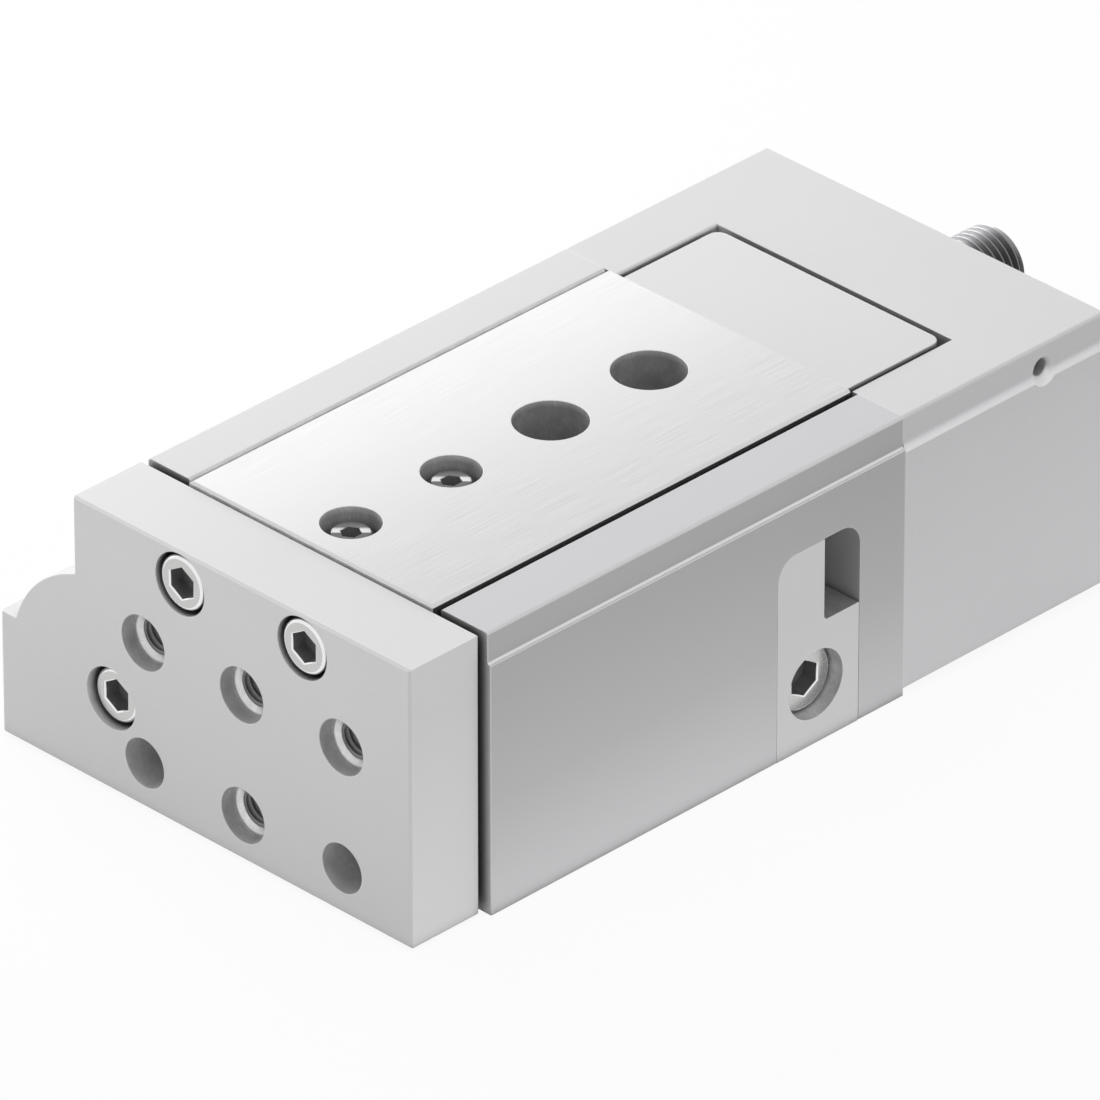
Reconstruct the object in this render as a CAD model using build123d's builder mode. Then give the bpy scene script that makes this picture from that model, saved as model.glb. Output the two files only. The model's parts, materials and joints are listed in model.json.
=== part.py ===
from build123d import *
import math
import os

# Pneumatic slide table with a recessed slide, a yoke plate and a ball-cage guide.
# Millimetres. The slide moves out along -Y, +Z is up, the mounting face is at Z = 0.

# Travel
stroke = 30.0
absorber_travel = 6.0

# Lengths along Y, from the front of the yoke plate to the rear
yoke_thickness = 11.0
yoke_gap = 0.7
front_body_beyond_stroke = 37.1
rear_body_length = 33.8
absorber_protrusion = 11.0
rear_pocket_length = 16.6
slide_seam_gap = 0.3
slide_rear_gap = 1.2

# Body section, measured from the slide's centre line and the mounting face
body_height = 37.2
body_left_reach = 40.1
body_right_reach = 28.1
body_upper_left = 27.0
flange_height = 17.1
boss_radius = 15.5
boss_shift = 1.2
boss_drop = 0.2
rear_body_lift = 1.0
edge_break = 0.3

# Long ledge under the top edge of the right side
ledge_drop = 4.2
ledge_depth = 0.45
ledge_slope_height = 0.45
rear_ledge_drop = 4.6
rear_ledge_slope_height = 1.5

# Yoke plate section
yoke_lift = 0.3
yoke_top_gap = 0.2
yoke_half_width = 27.05
yoke_left_reach = 39.55
yoke_flange_height = 16.6
yoke_boss_radius = 15.0

# Holes in the yoke plate
hole_pitch = 16.0
lower_hole_height = 6.2
centring_radius = 3.5
centring_depth = 2.0
mounting_thread_radius = 2.1
thread_chamfer = 0.5
access_hole_radius = 3.15
yoke_screw_spread = 19.7
yoke_screw_drop = 4.6
rod_screw_recess = 0.9

# Cylinder
piston_offset = 21.4
piston_height = 12.5
bore_radius = 8.0
rod_radius = 3.0
piston_length = 10.0
piston_nut_thickness = 2.4
piston_nut_flats = 7.0
stud_radius = 2.0
bung_thickness = 4.0
bung_gap = 1.4
gland_length = 15.0
gland_groove_from_front = 9.0
circlip_thickness = 0.9
circlip_recess = 0.6
circlip_reach = 0.6
circlip_mouth = 4.0
seal_width = 1.6
seal_depth = 1.3
magnet_width = 2.5
magnet_depth = 1.9
rod_seal_width = 3.0
rod_seal_depth = 2.0

# Slide section
slide_width = 39.1
slide_gap = 0.6
slide_proud = 0.3
lip_thickness = 4.0
table_thickness = 7.5
carriage_thickness = 5.5
carriage_width = 28.0
carriage_clearance = 0.5

# Holes in the top of the slide
first_slide_hole = 17.5
slide_screw_bore_radius = 3.6
slide_screw_bore_depth = 5.0
slide_centring_radius = 4.5
slide_thread_radius = 2.5

# Ball guide
ball_radius = 1.75
ball_clearance = 0.08
track_depth = 0.9
ball_pitch = 5.0
cage_thickness = 0.9
cage_height = 4.4
cage_corner_radius = 1.1
cage_end_gap = 0.6
cage_end_margin = 2.6
rail_thickness = 3.2

# Rear end of the slide
cover_left = 17.0
cover_right = 19.05
cover_skirt_drop = 2.0
cover_side_gap = 0.3
cover_corner_radius = 1.5
rear_pocket_left = 18.25
rear_pocket_right = 19.25
dog_thickness = 6.0
dog_half_width = 9.0
dog_tongue_half_width = 5.0
dog_tongue_drop = 10.7
dog_screw_spread = 11.4

# Channel and front stop
channel_half_width = 6.1
channel_clearance = 0.6
stop_gap = 0.3
buffer_thickness = 3.0
buffer_radius = 3.8
buffer_edge_radius = 0.75
stop_bolt_length = 23.0
stop_bolt_exposed = 11.0
stop_bolt_radius = 3.0
stop_bolt_chamfer = 0.5
stop_bolt_key_flats = 3.0
stop_bolt_key_depth = 3.0
stop_nut_flats = 10.0
stop_nut_thickness = 5.0

# Side block and its window
side_pocket_from_seam = 7.4
side_pocket_length = 13.5
side_pocket_drop = 10.4
side_pocket_wall = 2.2
side_pocket_corner = 3.0
side_block_gap = 0.05
window_width = 5.8
window_below_stop = 2.7
window_corner = 0.6
side_screw_from_front = 6.4
side_screw_height = 7.9
side_screw_seat = 1.7
duct_width = 4.6
duct_height = 5.0

# Rear shock absorber, thread M10 x 1
absorber_radius = 5.0
absorber_drop = 9.1
absorber_front_gap = 0.2
absorber_chamfer = 0.9
absorber_key_flats = 3.0
absorber_key_depth = 3.0
plunger_radius = 2.0
plunger_tip_radius = 2.6
plunger_tip_length = 0.9
plunger_guide_length = 7.5
absorber_nut_flats = 13.0
absorber_nut_thickness = 5.0
absorber_nut_recess = 0.4
absorber_nut_bore_radius = 7.8

# Air ports and passages
port_radius = 2.1
port_depth = 7.0
port_spread = 8.0
passage_radius = 1.0
retract_passage_offset = 11.2
retract_passage_height = 15.5

# Screws that join the rear body to the front body
joint_screw_grip = 6.0
joint_screw_recess = 0.5
joint_screw_left = 23.6
joint_screw_right = 23.6
joint_screw_drop = 6.7
joint_screw_low = 5.0
joint_screw_foot = 33.5

# Sensor slot along the left side
sensor_slot_radius = 2.1
sensor_slot_opening = 1.4
sensor_slot_height = 10.5

# Small drilled hole on the ledge of the rear body
ledge_hole_radius = 1.1
ledge_hole_sink_radius = 2.0
ledge_hole_from_seam = 23.2
ledge_hole_depth = 5.0
ledge_hole_rise = 1.3

# Threaded holes in the mounting face
base_hole_spacing_x = 54.0
base_hole_spacing_y = 30.0
base_hole_right_reach = 20.0
base_hole_first = 12.0
base_hole_depth = 8.0
base_centring_depth = 1.6

# Fits
running_clearance = 0.05
static_clearance = 0.02
plunger_clearance = 0.06
shank_clearance = 0.2
head_clearance = 0.45
sunk_head_clearance = 0.2

# Screws: shank radius, head, hexagon key, length under the head
m3_radius = 1.5
m3_head_radius = 2.75
m3_head_height = 3.0
m3_key_flats = 2.5
m3_key_depth = 1.5
m3_length = 6.0
m4_radius = 2.0
m4_head_radius = 3.5
m4_head_height = 4.0
m4_key_flats = 3.6
m4_key_depth = 2.0
m4_length = 12.0
m4_low_head_height = 2.8
m4_low_key_flats = 3.2
m4_low_key_depth = 1.5
m4_low_length = 7.0
m5_radius = 2.5
m5_low_head_radius = 4.25
m5_low_head_height = 3.5
m5_low_key_flats = 4.0
m5_low_key_depth = 2.2
side_screw_grip = 9.0

# Cutting helpers
cut_margin = 1.0
pick_tolerance = 0.01

# Worked-out places along Y
front_body_length = stroke + front_body_beyond_stroke
overall_length = (
    yoke_thickness + yoke_gap + front_body_length + rear_body_length + absorber_protrusion
)
yoke_front_y = -overall_length / 2
yoke_back_y = yoke_front_y + yoke_thickness
body_front_y = yoke_back_y + yoke_gap
seam_y = body_front_y + front_body_length
cover_front_y = seam_y - slide_seam_gap
body_rear_y = seam_y + rear_body_length
absorber_end_y = body_rear_y + absorber_protrusion
pocket_rear_y = seam_y + rear_pocket_length
slide_rear_y = pocket_rear_y - slide_rear_gap
dog_front_y = slide_rear_y - dog_thickness

# Worked-out places along X
guide_x = (body_left_reach - body_right_reach) / 2
body_left_x = guide_x - body_left_reach
body_right_x = guide_x + body_right_reach
body_upper_left_x = guide_x - body_upper_left
piston_x = guide_x - piston_offset
boss_x = piston_x - boss_shift
ball_offset = carriage_width / 2 + ball_radius - track_depth
rail_face_offset = ball_offset + ball_radius - track_depth
rail_back_offset = rail_face_offset + rail_thickness
pocket_half_width = slide_width / 2 + slide_gap

# Worked-out places along Z
ledge_height = body_height - ledge_drop
rear_ledge_height = body_height - rear_ledge_drop
yoke_top_z = body_height - yoke_top_gap
yoke_screw_height = body_height - yoke_screw_drop
joint_screw_top = body_height - joint_screw_drop
side_pocket_height = body_height - side_pocket_drop
slide_top_z = body_height + slide_proud
lip_bottom_z = slide_top_z - lip_thickness
table_bottom_z = slide_top_z - table_thickness
carriage_bottom_z = table_bottom_z - carriage_thickness
pocket_floor_z = carriage_bottom_z - carriage_clearance
ball_z = carriage_bottom_z + carriage_thickness / 2
rail_top_z = 2 * ball_z - pocket_floor_z
dog_bottom_z = carriage_bottom_z - dog_tongue_drop
channel_floor_z = dog_bottom_z - channel_clearance
stop_z = (channel_floor_z + pocket_floor_z) / 2
window_bottom = stop_z - window_below_stop
absorber_z = body_height - absorber_drop
boss_z = piston_height - boss_drop

# Both ends of the front stop
buffer_rear_y = dog_front_y - stroke - stop_gap
stop_bolt_rear_y = buffer_rear_y - buffer_thickness
stop_bolt_front_y = stop_bolt_rear_y - stop_bolt_length
channel_front_y = stop_bolt_rear_y - stop_bolt_exposed

# Shock absorber, its plunger close behind the slide
absorber_front_y = pocket_rear_y + absorber_front_gap
plunger_front_y = slide_rear_y + edge_break
plunger_rear_y = plunger_front_y + absorber_travel + plunger_guide_length

# Cylinder pieces, from the rear forwards
bung_front_y = seam_y - bung_thickness
piston_nut_rear_y = bung_front_y - bung_gap
piston_rear_y = piston_nut_rear_y - piston_nut_thickness
piston_front_y = piston_rear_y - piston_length
circlip_front_y = body_front_y + circlip_recess
gland_front_y = circlip_front_y + circlip_thickness
gland_rear_y = gland_front_y + gland_length

# Cages run at half the slide's speed, so they need half the stroke in front and behind
cage_front_y = body_front_y + cage_end_gap + stroke / 2
cage_rear_y = dog_front_y - cage_end_gap - stroke / 2
cage_length = cage_rear_y - cage_front_y
cage_middle_y = (cage_front_y + cage_rear_y) / 2
ball_count = int((cage_length - 2 * cage_end_margin) / ball_pitch) + 1

# Side block
side_pocket_rear_y = seam_y - side_pocket_from_seam
side_pocket_front_y = side_pocket_rear_y - side_pocket_length
side_pocket_middle_y = (side_pocket_front_y + side_pocket_rear_y) / 2
side_pocket_floor_x = guide_x + rail_back_offset + side_pocket_wall
side_pocket_depth = body_right_x - side_pocket_floor_x
side_screw_y = side_pocket_front_y + side_screw_from_front
window_front_y = side_pocket_rear_y - window_width
window_middle_y = side_pocket_rear_y - window_width / 2

# Passages, screw depths and grooves that follow from the sizes above
retract_passage_x = piston_x - retract_passage_offset
retract_cross_y = gland_rear_y + passage_radius + edge_break
extend_port_spot = (piston_x, piston_height - port_spread / 2)
port_spots = [
    (-extend_port_spot[0], extend_port_spot[1]),
    (-retract_passage_x, retract_passage_height),
]
base_pattern_shift = base_hole_spacing_x / 2 - base_hole_right_reach
base_pattern_y = body_front_y + base_hole_first + base_hole_spacing_y / 2
joint_head_top_y = body_rear_y - joint_screw_recess
joint_head_depth = joint_screw_recess + m3_head_height
joint_screw_length = rear_body_length - joint_head_depth + joint_screw_grip
joint_thread_depth = joint_screw_grip + edge_break
side_screw_top_x = side_pocket_floor_x + side_screw_seat + m5_low_head_height
side_screw_length = side_screw_seat + side_screw_grip
gland_groove_y = gland_front_y + gland_groove_from_front
bung_groove_y = seam_y - bung_thickness / 2

corner = (Align.MIN, Align.MIN)

os.makedirs("parts", exist_ok=True)


# Planes that pieces are sketched on
def front_face(y):
    """Plane at y that faces the front; its x is X and its y is Z."""
    return Plane.XZ.offset(-y)


def rear_face(y):
    """Plane at y that faces the rear; its x is -X and its y is Z."""
    return Plane((0, y, 0), x_dir=(-1, 0, 0), z_dir=(0, 1, 0))


def side_face(x):
    """Plane at x that faces the right; its x is Y and its y is Z."""
    return Plane.YZ.offset(x)


def under_face(z):
    """Plane at z that faces down; its x is X and its y is -Y."""
    return Plane((0, 0, z), x_dir=(1, 0, 0), z_dir=(0, 0, -1))


# Shapes that more than one piece uses
def hex_radius(flats):
    """Corner radius of a hexagon with this width across flats."""
    return flats / math.sqrt(3)


def cap_screw(radius, length, head_radius, head_height, key_flats, key_depth):
    """Socket head screw along -Z, the top of its head at the origin."""
    with BuildPart() as screw:
        with BuildSketch(Plane.XY.offset(-head_height)):
            Circle(head_radius)
        extrude(amount=head_height)
        chamfer(screw.edges().group_by(Axis.Z)[-1], edge_break)
        with BuildSketch(Plane.XY):
            RegularPolygon(hex_radius(key_flats), 6, rotation=30)
        extrude(amount=-key_depth, mode=Mode.SUBTRACT)
        with BuildSketch(Plane.XY.offset(-head_height)):
            Circle(radius)
        extrude(amount=-length)
        chamfer(screw.edges().group_by(Axis.Z)[0], edge_break)
    return screw.part


def foot_section(plane, bottom, top, left, right, upper_left, flange_top, radius):
    """Section with a tall block, a low flange on the left and a round boss between them."""
    with BuildSketch(plane) as section:
        with Locations((boss_x, boss_z)):
            Circle(radius)
        with Locations((left, bottom)):
            Rectangle(right - left, top - bottom, align=corner, mode=Mode.INTERSECT)
            Rectangle(right - left, flange_top - bottom, align=corner)
        with Locations((upper_left, bottom)):
            Rectangle(right - upper_left, top - bottom, align=corner)
    return section.sketch


def ledge_section(plane, height, slope_height):
    """Strip cut away above the ledge on the right side, with a hollow curve down to the ledge."""
    curve_top = (body_right_x - ledge_depth, height + slope_height)
    curve_foot = (body_right_x, height)
    with BuildSketch(plane) as section:
        with BuildLine():
            TangentArc(curve_top, curve_foot, tangent=(0, -1))
            Polyline(
                curve_foot,
                (body_right_x + ledge_depth, height),
                (body_right_x + ledge_depth, body_height + cut_margin),
                (body_right_x - ledge_depth, body_height + cut_margin),
                curve_top,
            )
        make_face()
    return section.sketch


def sensor_slot_section(plane):
    """Round slot with a narrow mouth in the left side."""
    with BuildSketch(plane) as section:
        slot_x = body_left_x + sensor_slot_radius + edge_break
        with Locations((slot_x, sensor_slot_height)):
            Circle(sensor_slot_radius)
        with Locations((body_left_x, sensor_slot_height)):
            Rectangle(2 * (slot_x - body_left_x), 2 * sensor_slot_opening)
    return section.sketch


def straight_rim(face):
    """Top, bottom, left and right edges of an upright face."""
    upright = face.edges().sort_by(Axis.Z)
    across = face.edges().sort_by(Axis.X)
    return [upright[0], upright[-1], across[0], across[-1]]


def joint_screw_spots(side):
    """Places of the screws that join the bodies; side is -1 on a plane that faces the rear."""
    return [
        (side * (guide_x + joint_screw_right), joint_screw_top),
        (side * (guide_x + joint_screw_right), joint_screw_low),
        (side * (guide_x - joint_screw_left), joint_screw_top),
        (side * (guide_x - joint_screw_foot), joint_screw_low),
    ]


# Yoke plate: ties the slide to the piston rod and carries the load in front
yoke_screw_reach = edge_break + m4_head_height + m4_length - yoke_thickness
rod_screw_reach = rod_screw_recess + m4_head_height + m4_length - yoke_thickness
yoke_screw_spots = [
    (guide_x - yoke_screw_spread / 2, yoke_screw_height),
    (guide_x + yoke_screw_spread / 2, yoke_screw_height),
]
rod_screw_spot = (piston_x, piston_height)
upper_hole_height = lower_hole_height + hole_pitch
centring_spots = [
    (guide_x - hole_pitch, upper_hole_height),
    (guide_x, upper_hole_height),
    (guide_x + hole_pitch, upper_hole_height),
    (guide_x, lower_hole_height),
]
access_spots = [
    (guide_x - hole_pitch, lower_hole_height),
    (guide_x + hole_pitch, lower_hole_height),
]
with BuildPart() as yoke_plate:
    yoke_section = foot_section(
        front_face(yoke_back_y),
        yoke_lift,
        yoke_top_z,
        guide_x - yoke_left_reach,
        guide_x + yoke_half_width,
        guide_x - yoke_half_width,
        yoke_flange_height,
        yoke_boss_radius,
    )
    extrude(yoke_section, amount=yoke_thickness)
    yoke_ends = yoke_plate.faces().sort_by(Axis.Y)
    chamfer(straight_rim(yoke_ends[0]) + straight_rim(yoke_ends[-1]), edge_break)
    with Locations(front_face(yoke_front_y)):
        for spots, recess in ((yoke_screw_spots, edge_break), ([rod_screw_spot], rod_screw_recess)):
            with Locations(*spots):
                CounterBoreHole(
                    m4_radius + shank_clearance, m4_head_radius + head_clearance, m4_head_height + recess
                )
        with Locations(*centring_spots):
            CounterBoreHole(mounting_thread_radius, centring_radius, centring_depth)
        with Locations(*access_spots):
            Hole(access_hole_radius)
    with Locations(front_face(yoke_front_y + centring_depth)):
        with Locations(*centring_spots):
            CounterSinkHole(
                mounting_thread_radius,
                mounting_thread_radius + thread_chamfer,
                depth=yoke_thickness - centring_depth,
                counter_sink_angle=90,
            )
yoke_plate.part.label = "yoke_plate"
export_step(yoke_plate.part, "parts/yoke_plate.step")

# Screws that hold the yoke plate on the slide
yoke_screw = cap_screw(
    m4_radius, m4_length, m4_head_radius, m4_head_height, m4_key_flats, m4_key_depth
)
with BuildPart() as yoke_screws:
    with Locations(front_face(yoke_front_y + edge_break)):
        with Locations(*yoke_screw_spots):
            add(yoke_screw)
yoke_screws.part.label = "yoke_screws"
export_step(yoke_screws.part, "parts/yoke_screws.step")

# Screw that holds the piston rod on the yoke plate
with BuildPart() as rod_screw:
    with Locations(front_face(yoke_front_y + rod_screw_recess)):
        with Locations(rod_screw_spot):
            add(yoke_screw)
rod_screw.part.label = "rod_screw"
export_step(rod_screw.part, "parts/rod_screw.step")

# Slide table: the ground top face, a wide lip on a narrower stem
slide_screw_spots = [
    (guide_x, yoke_front_y + first_slide_hole),
    (guide_x, yoke_front_y + first_slide_hole + hole_pitch),
]
slide_mount_spots = [
    (guide_x, yoke_front_y + first_slide_hole + 2 * hole_pitch),
    (guide_x, yoke_front_y + first_slide_hole + 3 * hole_pitch),
]
with BuildPart() as slide_table:
    with BuildSketch(front_face(cover_front_y)):
        with Locations((guide_x, lip_bottom_z)):
            Rectangle(slide_width, lip_thickness, align=(Align.CENTER, Align.MIN))
    extrude(amount=cover_front_y - yoke_back_y)
    slide_top = slide_table.faces().sort_by(Axis.Z)[-1]
    slide_long_edges = slide_top.edges().filter_by(Axis.Y)
    slide_front_edge = slide_top.edges().filter_by(Axis.X).sort_by(Axis.Y)[0]
    chamfer(slide_long_edges + [slide_front_edge], edge_break)
    with BuildSketch(front_face(dog_front_y)):
        with Locations((guide_x, table_bottom_z)):
            Rectangle(
                carriage_width, table_thickness - lip_thickness, align=(Align.CENTER, Align.MIN)
            )
    extrude(amount=dog_front_y - yoke_back_y)
    with Locations(Plane.XY.offset(slide_top_z)):
        with Locations(*slide_screw_spots):
            CounterBoreHole(
                m4_radius + shank_clearance,
                slide_screw_bore_radius,
                slide_screw_bore_depth,
                table_thickness,
            )
        with Locations(*slide_mount_spots):
            Hole(slide_centring_radius, table_thickness)
    with Locations(front_face(yoke_back_y)):
        with Locations(*yoke_screw_spots):
            Hole(m4_radius + running_clearance, yoke_screw_reach + cut_margin)
slide_table.part.label = "slide_table"
export_step(slide_table.part, "parts/slide_table.step")

# Carriage: the hardened block with the two inner ball tracks
with BuildPart() as guide_carriage:
    with BuildSketch(front_face(dog_front_y)):
        with Locations((guide_x, carriage_bottom_z)):
            Rectangle(carriage_width, carriage_thickness, align=(Align.CENTER, Align.MIN))
        with Locations((guide_x - ball_offset, ball_z), (guide_x + ball_offset, ball_z)):
            Circle(ball_radius + ball_clearance, mode=Mode.SUBTRACT)
    extrude(amount=dog_front_y - yoke_back_y - edge_break)
    with Locations(Plane.XY.offset(table_bottom_z)):
        with Locations(*slide_screw_spots):
            Hole(m4_radius + running_clearance, carriage_thickness)
        with Locations(*slide_mount_spots):
            Hole(slide_thread_radius, carriage_thickness)
    with Locations(rear_face(dog_front_y)):
        with Locations((-guide_x, ball_z)):
            with GridLocations(dog_screw_spread, 1, 2, 1):
                Hole(m3_radius + running_clearance, m3_length + cut_margin)
guide_carriage.part.label = "guide_carriage"
export_step(guide_carriage.part, "parts/guide_carriage.step")

# Screws that hold the slide table on the carriage, their heads sunk in the top face
slide_screw = cap_screw(
    m4_radius,
    m4_low_length,
    m4_head_radius,
    m4_low_head_height,
    m4_low_key_flats,
    m4_low_key_depth,
)
slide_screw_top_z = slide_top_z - slide_screw_bore_depth + m4_low_head_height
with BuildPart() as slide_screws:
    with Locations(Plane.XY.offset(slide_screw_top_z)):
        with Locations(*slide_screw_spots):
            add(slide_screw)
slide_screws.part.label = "slide_screws"
export_step(slide_screws.part, "parts/slide_screws.step")

# Cover over the rear end of the slide, with skirts on both sides of the stem
with BuildPart() as slide_rear_cover:
    with BuildSketch(Plane.XY.offset(lip_bottom_z)):
        with Locations((guide_x - cover_left, cover_front_y)):
            Rectangle(cover_left + cover_right, slide_rear_y - cover_front_y, align=corner)
    extrude(amount=lip_thickness)
    rear_corners = slide_rear_cover.edges().filter_by(Axis.Z).group_by(Axis.Y)[-1]
    fillet(rear_corners, cover_corner_radius)
    with BuildSketch(front_face(dog_front_y)):
        stem_left_x = guide_x - carriage_width / 2 - cover_side_gap
        stem_right_x = guide_x + carriage_width / 2 + cover_side_gap
        with Locations((guide_x - cover_left, lip_bottom_z)):
            Rectangle(
                stem_left_x - guide_x + cover_left, cover_skirt_drop, align=(Align.MIN, Align.MAX)
            )
        with Locations((guide_x + cover_right, lip_bottom_z)):
            Rectangle(
                guide_x + cover_right - stem_right_x, cover_skirt_drop, align=(Align.MAX, Align.MAX)
            )
    extrude(amount=dog_front_y - cover_front_y)
slide_rear_cover.part.label = "slide_rear_cover"
export_step(slide_rear_cover.part, "parts/slide_rear_cover.step")

# Stop dog: meets the shock absorber behind it and the front stop before it
with BuildPart() as stop_dog:
    with BuildSketch(front_face(slide_rear_y)):
        with Locations((guide_x, carriage_bottom_z)):
            Rectangle(
                2 * dog_half_width, lip_bottom_z - carriage_bottom_z, align=(Align.CENTER, Align.MIN)
            )
        with Locations((guide_x, dog_bottom_z)):
            Rectangle(
                2 * dog_tongue_half_width,
                carriage_bottom_z - dog_bottom_z,
                align=(Align.CENTER, Align.MIN),
            )
    extrude(amount=dog_thickness)
    with Locations(rear_face(slide_rear_y)):
        with Locations((-guide_x, ball_z)):
            with GridLocations(dog_screw_spread, 1, 2, 1):
                CounterBoreHole(
                    m3_radius + shank_clearance,
                    m3_head_radius + sunk_head_clearance,
                    m3_head_height + edge_break,
                )
stop_dog.part.label = "stop_dog"
export_step(stop_dog.part, "parts/stop_dog.step")

# Screws that hold the stop dog on the carriage
dog_screw = cap_screw(
    m3_radius, m3_length, m3_head_radius, m3_head_height, m3_key_flats, m3_key_depth
)
with BuildPart() as dog_screws:
    with Locations(rear_face(slide_rear_y - edge_break)):
        with Locations((-guide_x, ball_z)):
            with GridLocations(dog_screw_spread, 1, 2, 1):
                add(dog_screw)
dog_screws.part.label = "dog_screws"
export_step(dog_screws.part, "parts/dog_screws.step")

# Piston rod with a stud for the piston and a tapped front end
with BuildPart() as piston_rod:
    with BuildSketch(front_face(piston_front_y)):
        with Locations(rod_screw_spot):
            Circle(rod_radius)
    extrude(amount=piston_front_y - yoke_back_y)
    with BuildSketch(front_face(piston_nut_rear_y)):
        with Locations(rod_screw_spot):
            Circle(stud_radius)
    extrude(amount=piston_nut_rear_y - piston_front_y)
    with Locations(front_face(yoke_back_y)):
        with Locations(rod_screw_spot):
            Hole(m4_radius + running_clearance, rod_screw_reach + cut_margin)
piston_rod.part.label = "piston_rod"
export_step(piston_rod.part, "parts/piston_rod.step")

# Piston with two seal grooves and a magnet groove between them
piston_radius = bore_radius - running_clearance
piston_middle_y = (piston_front_y + piston_rear_y) / 2
seal_step = (piston_length - magnet_width) / 2 - seal_width
groove_middles = [
    (piston_middle_y - seal_step, seal_width, seal_depth),
    (piston_middle_y + seal_step, seal_width, seal_depth),
    (piston_middle_y, magnet_width, magnet_depth),
]
with BuildPart() as piston:
    with BuildSketch(front_face(piston_rear_y)):
        with Locations(rod_screw_spot):
            Circle(piston_radius)
            Circle(stud_radius + static_clearance, mode=Mode.SUBTRACT)
    extrude(amount=piston_length)
    for middle, width, depth in groove_middles:
        with BuildSketch(front_face(middle + width / 2)):
            with Locations(rod_screw_spot):
                Circle(piston_radius + cut_margin)
                Circle(piston_radius - depth, mode=Mode.SUBTRACT)
        extrude(amount=width, mode=Mode.SUBTRACT)
piston.part.label = "piston"
export_step(piston.part, "parts/piston.step")

# Nut that holds the piston on the rod's stud
with BuildPart() as piston_nut:
    with BuildSketch(front_face(piston_nut_rear_y)):
        with Locations(rod_screw_spot):
            RegularPolygon(hex_radius(piston_nut_flats), 6)
            Circle(stud_radius + static_clearance, mode=Mode.SUBTRACT)
    extrude(amount=piston_nut_thickness)
piston_nut.part.label = "piston_nut"
export_step(piston_nut.part, "parts/piston_nut.step")

# Piston seals, one at each end of the piston
with BuildPart() as piston_seals:
    for middle, width, depth in groove_middles[:2]:
        with BuildSketch(front_face(middle + width / 2 - static_clearance)):
            with Locations(rod_screw_spot):
                Circle(bore_radius - static_clearance)
                Circle(piston_radius - depth + static_clearance, mode=Mode.SUBTRACT)
        extrude(amount=width - 2 * static_clearance)
piston_seals.part.label = "piston_seals"
export_step(piston_seals.part, "parts/piston_seals.step")

# Ring magnet that position sensors read through the wall
with BuildPart() as piston_magnet:
    with BuildSketch(front_face(piston_middle_y + magnet_width / 2 - static_clearance)):
        with Locations(rod_screw_spot):
            Circle(piston_radius - edge_break)
            Circle(piston_radius - magnet_depth + static_clearance, mode=Mode.SUBTRACT)
    extrude(amount=magnet_width - 2 * static_clearance)
piston_magnet.part.label = "piston_magnet"
export_step(piston_magnet.part, "parts/piston_magnet.step")

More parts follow.
